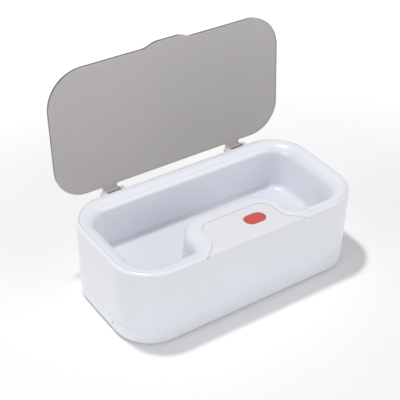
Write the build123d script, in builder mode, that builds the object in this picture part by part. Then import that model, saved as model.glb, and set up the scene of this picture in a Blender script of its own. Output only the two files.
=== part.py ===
# A small battery-powered ultrasonic cleaner for jewellery, watch bands and other small things.
# A white drafted housing holds a kidney-shaped tub, which runs round a flat control panel at the front.
# A smoky flat lid is hinged behind the rear wall and stands open, a few degrees past upright.
# The origin is the middle of the footprint, on the table. X runs along the length, Y to the rear, Z up.
from build123d import *
from math import atan, cos, degrees, radians, sin
import os

os.makedirs("parts", exist_ok=True)

# Housing
length = 180.0
width = 92.0
height = 58.0
corner_radius = 27.0
draft = 1.0  # how much further in each side stands at the table than at the rim
draft_angle = degrees(atan(draft / height))
wall = 2.2
seam_height = 12.0
seam_chamfer = 0.3
rim_round = 2.0
fit_gap = 0.12
rim_chamfer = 0.15

# Ledge in the housing, the gasket on it and the tub's flange on the gasket
flange_thickness = 2.2
gasket_thickness = 0.6
ledge_thickness = 2.0
ledge_reach = 1.2
gasket_gap = 0.15
flange_bottom = height - flange_thickness
ledge_top = flange_bottom - gasket_thickness
ledge_bottom = ledge_top - ledge_thickness

# Tub
rim_width = 11.0
tub_wall = 2.0
tub_floor = 24.0
tub_under = tub_floor - tub_wall
tub_taper = 3.0
tub_floor_round = 6.0
tub_rim_round = 7.5
mesa_half_width = 36.0
mesa_back = -4.0
mesa_back_radius = 19.0
lobe_radius = 8.0

# Control panel, the adhesive gasket under it and the ledge that carries both
panel_thickness = 2.0
panel_back = -16.9
panel_half_width = 27.2
panel_corner = 10.3
panel_waist = -31.8
panel_flare_radius = 11.0
panel_flare_angle = 48.0
panel_under = height - panel_thickness
panel_round = 0.5
panel_front_round = 1.9
notch_places = ((-37.9, -width / 2), (37.9, -width / 2))
notch_radius = 0.8
panel_gasket_thickness = 0.4
panel_ledge_top = panel_under - panel_gasket_thickness
panel_ledge_thickness = 1.7
panel_ledge_half_width = 35.0
opening_half_width = 23.5
opening_front = -41.0
opening_back = -19.5
opening_corner = 3.0

# Power button
button_x = 9.6
button_y = -29.8
button_length = 15.4
button_width = 10.0
button_sink = 0.1  # how far its top lies under the closed lid
button_round = 0.7
button_gap = 0.2
button_flange = 1.4
button_flange_thickness = 1.0
flange_top = panel_under - 0.05
button_stem_radius = 1.6
running_gap = 0.05
pocket_wall = 1.6
pocket_bottom = 51.6
seal_thickness = 1.6

# Control board and the parts on it
board_length = 46.0
board_depth = 22.0
board_thickness = 1.6
board_corner = 1.0
board_hole_gap = 0.1
board_top = 46.0
board_y = -30.5
board_under = board_top - board_thickness
boss_places = ((-19.5, -30.5), (20.0, -22.6), (20.0, -37.8))
boss_radius = 2.6
board_screw_radius = 1.0
board_screw_tip = 50.2
board_screw_head_radius = 1.9
board_screw_head_height = 1.2
board_screw_head_round = 0.5
screw_tip_gap = 0.5
switch_size = 6.0
switch_height = 3.6
switch_corner = 0.6
switch_chamfer = 0.3
plunger_radius = 1.75
plunger_top = 51.0
plunger_bottom = 48.2
plunger_bore = 47.2
plunger_chamfer = 0.2
socket_y = -22.5
socket_length = 7.0
socket_depth = 5.0
socket_height = 6.0
socket_chamfer = 0.4
piezo_socket_x = 0.0
battery_socket_x = 11.0
lead_pitch = 2.5
lead_radius = 0.6
transformer_x = -9.0
transformer_y = -33.0
transformer_size = (13.0, 12.0, 11.0)
transformer_leg = 2.0
transformer_coil_radius = 5.0
transformer_coil_gap = 1.5
capacitor_place = (6.0, -35.0)
capacitor_radius = 4.0
capacitor_height = 10.0
capacitor_round = 0.6
chip_place = (-12.0, -23.0)
chip_size = (5.0, 4.0, 1.6)
chip_leg = (0.4, 1.2, 0.6)
chip_leg_pitch = 1.27
chip_leg_rows = 5.0

# Piezo driver bonded under the tub
piezo_y = 15.5
plate_radius = 13.0
plate_thickness = 1.2
piezo_radius = 11.0
piezo_thickness = 3.0
piezo_under = tub_under - plate_thickness - piezo_thickness
piezo_drop_y = 0.0
solder_y = 9.0
solder_radius = 1.0
lead_bend = 2.5
lead_drop_bend = 1.4

# Base cover
underside = 0.8
floor_top = 3.6
base_round = 2.4
lip_thickness = 1.3
lip_height = 2.4
lip_root = 4.0
post_places = ((-72.0, -28.0), (72.0, -28.0), (-72.0, 28.0), (72.0, 28.0))
post_radius = 3.75
post_split = 9.0
screw_radius = 1.45
screw_clearance_radius = 1.7
screw_head_radius = 2.9
screw_head_height = 2.0
screw_seat = 3.2
screw_tip = 19.2
screw_head_round = 0.8
screw_head_gap = 0.3
drive_length = 3.4
drive_width = 0.8
drive_depth = 1.0
foot_inset = 2.6
foot_width = 3.0
foot_groove_depth = 1.4
foot_gap = 0.1
foot_round = 0.3
rib_places = (12.0, 24.0)
rib_half_length = 50.0
rib_thickness = 1.2
rib_top = 9.0
pry_y = -16.1
pry_width = 1.0
pry_depth = 1.0
pry_bottom = 5.6
pry_top = 9.3

# Battery bay and its door
cell_radius = 7.1
cell_length = 49.5
nub_radius = 2.75
nub_length = 1.0
cell_round = 0.8
cell_gap = 0.1
row_pitch = 15.8
bay_y = -20.0
bay_half_length = 54.0
bay_half_depth = 15.9
bay_wall = 1.5
bay_round = 0.6
door_top = 2.5
door_ledge = 2.0
door_gap = 0.3
door_corner = 1.0
cell_z = door_top + 0.4 + cell_radius
bay_ceiling = cell_z + cell_radius + 0.4
bay_roof = bay_ceiling + bay_wall
divider = 1.0
divider_bottom = 12.0
contact_thickness = 0.4
contact_width = 9.0
contact_bottom = 5.0
contact_corner = 1.0
bridge_top = 11.5
tail_width = 3.0
tail_gap = 0.2
tail_top = bay_roof + 2.3
lead_level = bay_roof + 1.3
lead_turn_x = 40.0
spring_radius = 3.4
spring_wire_radius = 0.4
spring_turns = 3.5
tongue_x = 30.0
tongue_width = 8.0
tongue_reach = 2.4
tongue_height = 1.2
tongue_gap = 0.1
tongue_window_top = 6.1
tongue_window_gap = 0.4
tongue_root = 3.0
tongue_sink = 0.5
latch_width = 14.0
latch_gap = 0.5
latch_thickness = 1.2
latch_height = 3.0
grip_width = 1.0
grip_depth = 0.5
grip_count = 5
grip_start = 3.0

# Lid, drawn standing open
lid_open_angle = 93.9
lid_inset = 1.2
lid_thickness = 2.0
lid_front_corner = 25.6
lid_rear_corner = 22.0
lid_edge_round = 0.5
tab_half_width = 13.2
tab_reach = 2.8
tab_slope = 3.8
tab_round = 13.0
hinge_y = width / 2 + 2.5
hinge_z = height - 2.6
hinge_x = 50.0
lug_width = 10.4
lug_radius = 2.1
lug_root = 6.0
ear_width = 2.6
ear_gap = 0.3
ear_radius = 2.1
ear_drop = 9.0
pin_radius = 1.0
pin_chamfer = 0.15
stop_gap = 0.1
stop_depth = 4.2
stop_drop = 7.0


def inset_at(z):
    """How far the drafted side stands in, at height z, from its place at the rim."""
    return draft * (1 - z / height)


def drafted_block(inset, low, high, mode=Mode.ADD):
    """A block with the housing's outline, drawn in by inset, that follows the draft from low to high."""
    total = inset + inset_at(low)
    with BuildSketch(Plane.XY.offset(low)) as outline:
        RectangleRounded(length - 2 * total, width - 2 * total, corner_radius - total)
    extrude(to_extrude=outline.sketch, amount=high - low, taper=-draft_angle, mode=mode)


def ring(inset, ring_width, low, high, mode=Mode.ADD):
    """A flat ring that follows the housing's outline at height low, with its outer edge in by inset."""
    with BuildSketch(Plane.XY.offset(low)) as outline:
        for total, step in ((inset, Mode.ADD), (inset + ring_width, Mode.SUBTRACT)):
            total += inset_at(low)
            RectangleRounded(length - 2 * total, width - 2 * total, corner_radius - total, mode=step)
    extrude(to_extrude=outline.sketch, amount=high - low, mode=mode)


def side_block(points, middle, total, mode=Mode.ADD):
    """A block with this profile, given as (Y, Z) points, total wide along X about the middle."""
    with BuildSketch(Plane.YZ.offset(middle)) as profile:
        with BuildLine():
            Polyline(*points, close=True)
        make_face()
    extrude(to_extrude=profile.sketch, amount=total / 2, both=True, mode=mode)


def box_between(x_range, y_range, z_range, mode=Mode.SUBTRACT):
    """A plain box between these limits, cut away unless the mode says otherwise."""
    sizes = [high - low for low, high in (x_range, y_range, z_range)]
    with Locations((x_range[0], y_range[0], z_range[0])):
        Box(*sizes, align=(Align.MIN, Align.MIN, Align.MIN), mode=mode)


def upright_cylinder(places, radius, low, high, mode=Mode.ADD):
    """A cylinder from low to high at each (X, Y) place."""
    with Locations(*[(x, y, low) for x, y in places]):
        Cylinder(radius, high - low, align=(Align.CENTER, Align.CENTER, Align.MIN), mode=mode)


def panel_outline(grow=0.0):
    """The control panel's plan, drawn out past the front: rounded rear corners, a waist and a flare."""
    side = panel_half_width + grow
    back = panel_back + grow
    flare_radius = panel_flare_radius - grow
    with BuildSketch(Plane.XY) as outline:
        with BuildLine():
            Polyline((-side, panel_waist), (-side, back), (side, back), (side, panel_waist))
            right = JernArc((side, panel_waist), (0, -1), flare_radius, panel_flare_angle)
            left = JernArc((-side, panel_waist), (0, -1), flare_radius, -panel_flare_angle)
            Polyline(right @ 1, right @ 1 + (right % 1) * width, left @ 1 + (left % 1) * width, left @ 1)
        make_face()
        fillet(outline.vertices().group_by(Axis.Y)[-1], radius=panel_corner + grow)
    return outline.sketch


def tub_outline(grow=0.0):
    """The tub's plan: a rounded rectangle with the control panel's promontory let into its front."""
    side = mesa_half_width - grow
    back = mesa_back - grow
    inset = rim_width - grow
    with BuildSketch(Plane.XY) as outline:
        RectangleRounded(length - 2 * inset, width - 2 * inset, corner_radius - inset)
        with Locations((0, back)):
            Rectangle(2 * side, width, align=(Align.CENTER, Align.MAX), mode=Mode.SUBTRACT)
        for end, radius in ((0, lobe_radius + grow), (-1, mesa_back_radius - grow)):
            corners = outline.vertices().filter_by_position(Axis.X, -side - 0.01, side + 0.01)
            fillet(corners.group_by(Axis.Y)[end], radius=radius)
    return outline.sketch


def button_outline(grow=0.0):
    """The power button's plan, an oval with straight sides."""
    with BuildSketch(Plane.XY) as outline:
        with Locations((button_x, button_y)):
            SlotOverall(button_length + 2 * grow, button_width + 2 * grow)
    return outline.sketch


def opened(y, z):
    """Where a point of the closed lid, given from the hinge axis, lies once the lid stands open."""
    turn = radians(-lid_open_angle)
    return hinge_y + y * cos(turn) - z * sin(turn), hinge_z + y * sin(turn) + z * cos(turn)


def lead(points, radii):
    """A round lead through these points, with a bend of each radius at the inner ones."""
    with BuildLine() as path:
        FilletPolyline(*points, radius=radii)
    with BuildSketch(Plane(origin=path.line @ 0, z_dir=path.line % 0)) as section:
        Circle(lead_radius)
    sweep(sections=section.sketch, path=path.line)


# Body shell: the drafted sleeve, its inner ledge, the seat for the panel, the hinge ears and lid stops
ear_offset = (lug_width + ear_width) / 2 + ear_gap
stop_end = opened(lug_radius + stop_gap, stop_depth)
with BuildPart() as body_shell:
    drafted_block(0, seam_height, height)
    fillet(body_shell.edges().group_by(Axis.Z)[-1], radius=rim_round)
    chamfer(body_shell.edges().group_by(Axis.Z)[0], length=seam_chamfer)
    for side in (-hinge_x, hinge_x):
        for ear_x in (side - ear_offset, side + ear_offset):
            side_block(
                [
                    (width / 2 - rim_round, height),
                    (hinge_y, hinge_z + ear_radius),
                    (hinge_y + ear_radius, hinge_z),
                    (width / 2 - wall / 2, hinge_z - ear_drop),
                    (width / 2 - rim_round, hinge_z - ear_drop),
                ],
                ear_x,
                ear_width,
            )
            with Locations((ear_x, hinge_y, hinge_z)):
                Cylinder(ear_radius, ear_width, rotation=(0, 90, 0))
        side_block(
            [
                opened(lug_radius + stop_gap, -stop_depth),
                stop_end,
                (stop_end[0], stop_end[1] - 1),
                (width / 2 - wall / 2, stop_end[1] - stop_drop),
                (width / 2 - rim_round, stop_end[1] - stop_drop),
            ],
            side,
            lug_width + 2 * ear_gap,
        )
        with Locations((side, hinge_y, hinge_z)):
            Cylinder(pin_radius, 2 * lug_width, rotation=(0, 90, 0), mode=Mode.SUBTRACT)
    drafted_block(wall, seam_height, ledge_bottom, mode=Mode.SUBTRACT)
    drafted_block(wall + ledge_reach, ledge_bottom, ledge_top, mode=Mode.SUBTRACT)
    drafted_block(wall, ledge_top, height, mode=Mode.SUBTRACT)
    chamfer(body_shell.faces().sort_by(Axis.Z)[-1].inner_wires()[0].edges(), length=rim_chamfer)
    with BuildSketch(Plane.XY.offset(panel_under)):
        add(panel_outline(fit_gap))
    extrude(amount=panel_thickness, mode=Mode.SUBTRACT)
    upright_cylinder(notch_places, notch_radius, panel_under, height, mode=Mode.SUBTRACT)
    box_between((-length, length), (-width, width), (height, height + 1))
body_shell.part.label = "body_shell"
export_step(body_shell.part, "parts/body_shell.step")

# Gasket on the housing's ledge, under the tub's flange
with BuildPart() as rim_gasket:
    ring(wall + gasket_gap, ledge_reach - gasket_gap, ledge_top, flange_bottom)
    box_between((-panel_ledge_half_width, panel_ledge_half_width), (-width, 0), (ledge_top, flange_bottom))
rim_gasket.part.label = "rim_gasket"
export_step(rim_gasket.part, "parts/rim_gasket.step")

# Tub's hollow, taken out of the tub below
with BuildPart() as basin:
    with BuildSketch(Plane.XY.offset(height)):
        add(tub_outline())
    extrude(amount=tub_floor - height, taper=tub_taper)
    fillet(basin.edges().group_by(Axis.Z)[0], radius=tub_floor_round - tub_wall)

# Ledge round the opening under the control panel, joined to the tub below
with BuildPart() as panel_ledge:
    drafted_block(wall + ledge_reach + fit_gap, panel_ledge_top - panel_ledge_thickness, height)
    box_between(
        (-panel_ledge_half_width, panel_ledge_half_width),
        (-width, mesa_back - tub_wall / 2),
        (0, height),
        mode=Mode.INTERSECT,
    )

# Tub: the basin's wall, the flange round it, the ledge under the panel and four screw posts
with BuildPart() as tub:
    with BuildSketch(Plane.XY.offset(height)):
        add(tub_outline(tub_wall))
    extrude(amount=tub_under - height, taper=tub_taper)
    fillet(tub.edges().group_by(Axis.Z)[0], radius=tub_floor_round)
    drafted_block(wall + fit_gap, flange_bottom, height)
    under_flange = tub.faces().filter_by(Axis.Z).filter_by_position(Axis.Z, flange_bottom, flange_bottom)
    fillet(under_flange[0].inner_wires()[0].edges(), radius=tub_rim_round - tub_wall)
    upright_cylinder(post_places, post_radius, post_split, tub_floor + tub_wall)
    add(panel_ledge.part)
    add(basin.part, mode=Mode.SUBTRACT)
    fillet(tub.faces().sort_by(Axis.Z)[-1].inner_wires()[0].edges(), radius=tub_rim_round)
    chamfer(tub.faces().sort_by(Axis.Z)[-1].outer_wire().edges(), length=rim_chamfer)
    with BuildSketch(Plane.XY.offset(panel_ledge_top)):
        add(panel_outline(fit_gap))
    extrude(amount=height - panel_ledge_top, mode=Mode.SUBTRACT)
    with BuildSketch(Plane.XY.offset(panel_under)):
        with Locations((0, (opening_front + opening_back) / 2)):
            RectangleRounded(2 * opening_half_width, opening_back - opening_front, opening_corner)
    extrude(amount=-3 * panel_ledge_thickness, mode=Mode.SUBTRACT)
    upright_cylinder(post_places, screw_radius, post_split, screw_tip + screw_tip_gap, mode=Mode.SUBTRACT)
tub.part.label = "tub"
export_step(tub.part, "parts/tub.step")

# Rounded front that the panel shares with the housing's rim
with BuildPart() as rim_block:
    drafted_block(0, panel_under, height)
    fillet(rim_block.edges().group_by(Axis.Z)[-1], radius=panel_front_round)

# Control panel: the inlaid plate with its button hole, the pocket under it and three bosses for the board
with BuildPart() as control_panel:
    with BuildSketch(Plane.XY.offset(panel_under)):
        add(panel_outline())
    extrude(amount=panel_thickness)
    fillet(control_panel.edges().group_by(Axis.Z)[-1], radius=panel_round)
    add(rim_block.part, mode=Mode.INTERSECT)
    upright_cylinder(notch_places, notch_radius, panel_under, height, mode=Mode.SUBTRACT)
    with BuildSketch(Plane.XY.offset(pocket_bottom)):
        add(button_outline(button_flange + button_gap + pocket_wall))
    extrude(amount=panel_under - pocket_bottom)
    with BuildSketch(Plane.XY.offset(pocket_bottom)):
        add(button_outline(button_flange + button_gap))
    extrude(amount=panel_under - pocket_bottom, mode=Mode.SUBTRACT)
    with BuildSketch(Plane.XY.offset(pocket_bottom)):
        add(button_outline(button_gap))
    extrude(amount=height - pocket_bottom, mode=Mode.SUBTRACT)
    upright_cylinder(boss_places, boss_radius, board_top, panel_under)
    screw_bore_top = board_screw_tip + screw_tip_gap
    upright_cylinder(boss_places, board_screw_radius, board_top, screw_bore_top, mode=Mode.SUBTRACT)
control_panel.part.label = "control_panel"
export_step(control_panel.part, "parts/control_panel.step")

# Adhesive gasket between the panel and its ledge
with BuildPart() as panel_gasket:
    drafted_block(wall + ledge_reach + fit_gap, panel_ledge_top, panel_under)
    with BuildSketch(Plane.XY.offset(panel_ledge_top)):
        add(panel_outline())
        with Locations((0, (opening_front + opening_back) / 2)):
            RectangleRounded(
                2 * opening_half_width, opening_back - opening_front, opening_corner, mode=Mode.SUBTRACT
            )
    extrude(amount=panel_gasket_thickness, mode=Mode.INTERSECT)
panel_gasket.part.label = "panel_gasket"
export_step(panel_gasket.part, "parts/panel_gasket.step")

# Power button: the oval cap, the flange that keeps it in and the stem that works the switch
with BuildPart() as power_button:
    with BuildSketch(Plane.XY.offset(flange_top - button_flange_thickness)):
        add(button_outline())
    extrude(amount=height - button_sink - flange_top + button_flange_thickness)
    fillet(power_button.edges().group_by(Axis.Z)[-1], radius=button_round)
    with BuildSketch(Plane.XY.offset(flange_top - button_flange_thickness)):
        add(button_outline(button_flange))
    extrude(amount=button_flange_thickness)
    upright_cylinder([(button_x, button_y)], button_stem_radius, plunger_top, flange_top)
power_button.part.label = "power_button"
export_step(power_button.part, "parts/power_button.step")

# Silicone seal in the pocket, which wipes the button's stem
with BuildPart() as button_seal:
    with BuildSketch(Plane.XY.offset(pocket_bottom)):
        add(button_outline(button_flange + button_gap))
        with Locations((button_x, button_y)):
            Circle(button_stem_radius + running_gap, mode=Mode.SUBTRACT)
    extrude(amount=seal_thickness)
button_seal.part.label = "button_seal"
export_step(button_seal.part, "parts/button_seal.step")

# Control board, hung from the panel's bosses
with BuildPart() as control_board:
    with BuildSketch(Plane.XY.offset(board_under)):
        with Locations((0, board_y)):
            RectangleRounded(board_length, board_depth, board_corner)
    extrude(amount=board_thickness)
    upright_cylinder(boss_places, board_screw_radius + board_hole_gap, board_under, board_top, Mode.SUBTRACT)
control_board.part.label = "control_board"
export_step(control_board.part, "parts/control_board.step")

# Screws that hold the board to the bosses
with BuildPart() as board_screws:
    upright_cylinder(boss_places, board_screw_head_radius, board_under - board_screw_head_height, board_under)
    fillet(board_screws.edges().group_by(Axis.Z)[0], radius=board_screw_head_round)
    upright_cylinder(boss_places, board_screw_radius, board_under, board_screw_tip)
board_screws.part.label = "board_screws"
export_step(board_screws.part, "parts/board_screws.step")

# Push switch on the board, under the button
with BuildPart() as switch_housing:
    with Locations((button_x, button_y, board_top)):
        Box(switch_size, switch_size, switch_height, align=(Align.CENTER, Align.CENTER, Align.MIN))
    fillet(switch_housing.edges().filter_by(Axis.Z), radius=switch_corner)
    chamfer(switch_housing.edges().group_by(Axis.Z)[-1], length=switch_chamfer)
    switch_top = board_top + switch_height
    upright_cylinder(
        [(button_x, button_y)], plunger_radius + running_gap, plunger_bore, switch_top, mode=Mode.SUBTRACT
    )
switch_housing.part.label = "switch_housing"
export_step(switch_housing.part, "parts/switch_housing.step")

# Plunger of the push switch
with BuildPart() as switch_plunger:
    upright_cylinder([(button_x, button_y)], plunger_radius, plunger_bottom, plunger_top)
    chamfer(switch_plunger.edges().group_by(Axis.Z)[-1], length=plunger_chamfer)
switch_plunger.part.label = "switch_plunger"
export_step(switch_plunger.part, "parts/switch_plunger.step")

# Sockets under the board for the two pairs of leads
with BuildPart() as lead_sockets:
    for socket_x in (piezo_socket_x, battery_socket_x):
        with Locations((socket_x, socket_y, board_under)):
            Box(socket_length, socket_depth, socket_height, align=(Align.CENTER, Align.CENTER, Align.MAX))
    chamfer(lead_sockets.edges().filter_by(Axis.Z), length=socket_chamfer)
lead_sockets.part.label = "lead_sockets"
export_step(lead_sockets.part, "parts/lead_sockets.step")

# Transformer that drives the piezo disc: a ferrite frame round a wound bobbin
with BuildPart() as driver_transformer:
    with Locations((transformer_x, transformer_y, board_under)):
        Box(*transformer_size, align=(Align.CENTER, Align.CENTER, Align.MAX))
    with Locations((transformer_x, transformer_y, board_under - transformer_size[2] / 2)):
        Box(
            transformer_size[0] - 2 * transformer_leg,
            width,
            transformer_size[2] - 2 * transformer_leg,
            mode=Mode.SUBTRACT,
        )
        Cylinder(transformer_coil_radius, transformer_size[2] - 2 * transformer_coil_gap)
driver_transformer.part.label = "driver_transformer"
export_step(driver_transformer.part, "parts/driver_transformer.step")

# Filter capacitor
with BuildPart() as filter_capacitor:
    upright_cylinder([capacitor_place], capacitor_radius, board_under - capacitor_height, board_under)
    fillet(filter_capacitor.edges().group_by(Axis.Z)[0], radius=capacitor_round)
filter_capacitor.part.label = "filter_capacitor"
export_step(filter_capacitor.part, "parts/filter_capacitor.step")

# Driver chip with its eight legs
with BuildPart() as driver_chip:
    with Locations((*chip_place, board_under)):
        Box(*chip_size, align=(Align.CENTER, Align.CENTER, Align.MAX))
        with GridLocations(chip_leg_pitch, chip_leg_rows, 4, 2):
            Box(*chip_leg, align=(Align.CENTER, Align.CENTER, Align.MAX))
driver_chip.part.label = "driver_chip"
export_step(driver_chip.part, "parts/driver_chip.step")

# Steel plate bonded under the tub floor, with the piezo disc bonded to it
with BuildPart() as vibration_plate:
    upright_cylinder([(0, piezo_y)], plate_radius, tub_under - plate_thickness, tub_under)
vibration_plate.part.label = "vibration_plate"
export_step(vibration_plate.part, "parts/vibration_plate.step")

with BuildPart() as piezo_disc:
    upright_cylinder([(0, piezo_y)], piezo_radius, piezo_under, tub_under - plate_thickness)
piezo_disc.part.label = "piezo_disc"
export_step(piezo_disc.part, "parts/piezo_disc.step")

# Pair of leads from the board to the piezo disc, each ending in a blob of solder
socket_bottom = board_under - socket_height
with BuildPart() as piezo_leads:
    for lead_x in (piezo_socket_x - lead_pitch / 2, piezo_socket_x + lead_pitch / 2):
        lead(
            [
                (lead_x, socket_y, socket_bottom),
                (lead_x, socket_y, lead_level),
                (lead_x, piezo_drop_y, lead_level),
                (lead_x, piezo_drop_y, piezo_under - lead_radius),
                (lead_x, solder_y, piezo_under - lead_radius),
            ],
            [lead_bend, lead_drop_bend, lead_drop_bend],
        )
        upright_cylinder([(lead_x, solder_y)], solder_radius, piezo_under - 2 * lead_radius, piezo_under)
piezo_leads.part.label = "piezo_leads"
export_step(piezo_leads.part, "parts/piezo_leads.step")

# Base cover: the drafted tray, its locating lip, pry notches, ribs, battery bay and screw posts
bay_front = bay_y - bay_half_depth
bay_back = bay_y + bay_half_depth
with BuildPart() as base_cover:
    drafted_block(0, underside, seam_height)
    fillet(base_cover.edges().group_by(Axis.Z)[0], radius=base_round)
    chamfer(base_cover.edges().group_by(Axis.Z)[-1], length=seam_chamfer)
    drafted_block(wall, floor_top, seam_height, mode=Mode.SUBTRACT)
    drafted_block(wall + fit_gap, seam_height, seam_height + lip_height)
    drafted_block(wall - fit_gap, seam_height - lip_root, seam_height)
    drafted_block(wall + lip_thickness, seam_height - lip_root, seam_height + lip_height, mode=Mode.SUBTRACT)
    for end in (-length / 2, length / 2 - draft - pry_depth):
        box_between(
            (end, end + draft + pry_depth),
            (pry_y - pry_width / 2, pry_y + pry_width / 2),
            (pry_bottom, pry_top),
        )
    for rib_y in rib_places:
        box_between(
            (-rib_half_length, rib_half_length),
            (rib_y - rib_thickness / 2, rib_y + rib_thickness / 2),
            (floor_top, rib_top),
            mode=Mode.ADD,
        )
    outer_x = bay_half_length + bay_wall
    box_between((-outer_x, outer_x), (bay_front - bay_wall, bay_back + bay_wall), (floor_top, bay_roof), Mode.ADD)
    fillet(base_cover.edges().group_by(Axis.Z)[-1], radius=bay_round)
    upright_cylinder(post_places, post_radius, floor_top, post_split)
    upright_cylinder(post_places, screw_clearance_radius, underside, post_split, mode=Mode.SUBTRACT)
    upright_cylinder(post_places, screw_head_radius + screw_head_gap, underside, screw_seat, Mode.SUBTRACT)
    box_between((-bay_half_length, bay_half_length), (bay_front, bay_back), (underside, bay_ceiling))
    box_between(
        (-bay_half_length - door_ledge, bay_half_length + door_ledge),
        (bay_front - door_ledge, bay_back + door_ledge),
        (underside, door_top),
    )
    box_between(
        (-bay_half_length, bay_half_length),
        (bay_y - divider / 2, bay_y + divider / 2),
        (divider_bottom, bay_roof),
        Mode.ADD,
    )
    for row_y in (bay_y - row_pitch / 2, bay_y + row_pitch / 2):
        box_between(
            (bay_half_length - 2 * contact_thickness, bay_half_length),
            (row_y - tail_width / 2 - tail_gap, row_y + tail_width / 2 + tail_gap),
            (bay_ceiling, bay_roof),
        )
    window_half_width = tongue_width / 2 + tongue_window_gap
    for tongue in (-tongue_x, tongue_x):
        box_between(
            (tongue - window_half_width, tongue + window_half_width),
            (bay_back - door_gap, bay_back + door_ledge + tongue_reach + tongue_window_gap),
            (door_top, tongue_window_top),
        )
    groove_top = underside + foot_groove_depth
    ring(foot_inset - foot_gap, foot_width + 2 * foot_gap, underside, groove_top, mode=Mode.SUBTRACT)
base_cover.part.label = "base_cover"
export_step(base_cover.part, "parts/base_cover.step")

# Rubber ring set into the underside, on which the cleaner stands
with BuildPart() as foot_ring:
    ring(foot_inset + inset_at(underside) - inset_at(0), foot_width, 0, underside + foot_groove_depth)
    fillet(foot_ring.edges().group_by(Axis.Z)[0], radius=foot_round)
foot_ring.part.label = "foot_ring"
export_step(foot_ring.part, "parts/foot_ring.step")

# Four long screws that draw the base cover and the tub together round the housing
with BuildPart() as base_screws:
    upright_cylinder(post_places, screw_head_radius, screw_seat - screw_head_height, screw_seat)
    fillet(base_screws.edges().group_by(Axis.Z)[0], radius=screw_head_round)
    with Locations(*[(x, y, screw_seat - screw_head_height) for x, y in post_places]):
        Box(drive_length, drive_width, 2 * drive_depth, mode=Mode.SUBTRACT)
        Box(drive_width, drive_length, 2 * drive_depth, mode=Mode.SUBTRACT)
    upright_cylinder(post_places, screw_radius, screw_seat, screw_tip)
base_screws.part.label = "base_screws"
export_step(base_screws.part, "parts/base_screws.step")

# Battery door: the flush plate, the round rear edge that it turns on, its grip ribs, latch and tongues
door_front = bay_front - door_ledge + door_gap
door_back = bay_back + door_ledge - door_gap
door_half_thickness = (door_top - underside) / 2
pivot_y = door_back - door_half_thickness
pivot_z = underside + door_half_thickness
with BuildPart() as battery_door:
    door_end = bay_half_length + door_ledge - door_gap
    box_between((-door_end, door_end), (door_front, pivot_y), (underside, door_top), Mode.ADD)
    fillet(battery_door.edges().filter_by(Axis.Z).group_by(Axis.Y)[0], radius=door_corner)
    with Locations((0, pivot_y, pivot_z)):
        Cylinder(door_half_thickness, 2 * door_end, rotation=(0, 90, 0))
    for step in range(grip_count):
        groove_y = door_front + grip_start + step * 2 * grip_width
        box_between(
            (-latch_width / 2, latch_width / 2),
            (groove_y, groove_y + grip_width),
            (underside, underside + grip_depth),
        )
    box_between(
        (-latch_width / 2, latch_width / 2),
        (bay_front + latch_gap, bay_front + latch_gap + latch_thickness),
        (door_top, door_top + latch_height),
        Mode.ADD,
    )
    tongue_end = bay_back + door_ledge + tongue_reach
    tongue_level = door_top + tongue_gap
    for tongue in (-tongue_x, tongue_x):
        side_block(
            [
                (door_back - tongue_root, door_top - tongue_sink),
                (door_back - tongue_root, tongue_level + tongue_height),
                (tongue_end, tongue_level + tongue_height),
                (tongue_end, tongue_level),
                (door_back - door_gap, tongue_level),
                (door_back - door_gap, door_top - tongue_sink),
            ],
            tongue,
            tongue_width,
        )
battery_door.part.label = "battery_door"
export_step(battery_door.part, "parts/battery_door.step")

# Four AA cells, two to a row; the rows face opposite ways
front_row = bay_y - row_pitch / 2
back_row = bay_y + row_pitch / 2
contact_face = bay_half_length - contact_thickness
with BuildPart() as aa_cells:
    for row_y, facing in ((front_row, 1), (back_row, -1)):
        tip = contact_face - cell_gap
        for cell in range(2):
            shoulder = tip - nub_length
            with Locations((facing * (shoulder - cell_length / 2), row_y, cell_z)):
                Cylinder(cell_radius, cell_length, rotation=(0, 90, 0))
            with Locations((facing * (tip - nub_length / 2), row_y, cell_z)):
                Cylinder(nub_radius, nub_length, rotation=(0, 90, 0))
            tip = shoulder - cell_length - cell_gap
    rims = aa_cells.edges().filter_by(GeomType.CIRCLE)
    fillet([rim for rim in rims if rim.radius > nub_radius + cell_round], radius=cell_round)
aa_cells.part.label = "aa_cells"
export_step(aa_cells.part, "parts/aa_cells.step")

# Plate that joins the two rows, and the two plates with tails for the leads
with BuildPart() as bridge_contact:
    box_between(
        (-bay_half_length, -contact_face),
        (front_row - contact_width / 2, back_row + contact_width / 2),
        (contact_bottom, bridge_top),
        Mode.ADD,
    )
    fillet(bridge_contact.edges().filter_by(Axis.X), radius=contact_corner)
bridge_contact.part.label = "bridge_contact"
export_step(bridge_contact.part, "parts/bridge_contact.step")

with BuildPart() as battery_contacts:
    for row_y in (front_row, back_row):
        with BuildSketch(Plane.YZ.offset(contact_face)):
            with Locations((row_y, (contact_bottom + bay_ceiling) / 2)):
                RectangleRounded(contact_width, bay_ceiling - contact_bottom - 2 * cell_gap, contact_corner)
            with Locations((row_y, (contact_bottom + tail_top) / 2)):
                Rectangle(tail_width, tail_top - contact_bottom)
        extrude(amount=contact_thickness)
battery_contacts.part.label = "battery_contacts"
export_step(battery_contacts.part, "parts/battery_contacts.step")

# Coil springs that press on the flat end of each row
spring_length = 2 * bay_half_length - 2 * contact_thickness - 2 * (cell_length + nub_length + cell_gap)
with BuildPart() as battery_springs:
    for row_y, facing in ((front_row, 1), (back_row, -1)):
        coil_length = spring_length - 2 * spring_wire_radius - cell_gap
        with BuildLine() as path:
            Helix(
                pitch=coil_length / spring_turns,
                height=coil_length,
                radius=spring_radius,
                center=(-facing * (contact_face - spring_wire_radius), row_y, cell_z),
                direction=(facing, 0, 0),
            )
        with BuildSketch(Plane(origin=path.line @ 0, z_dir=path.line % 0)) as section:
            Circle(spring_wire_radius)
        sweep(sections=section.sketch, path=path.line, is_frenet=True)
battery_springs.part.label = "battery_springs"
export_step(battery_springs.part, "parts/battery_springs.step")

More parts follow.
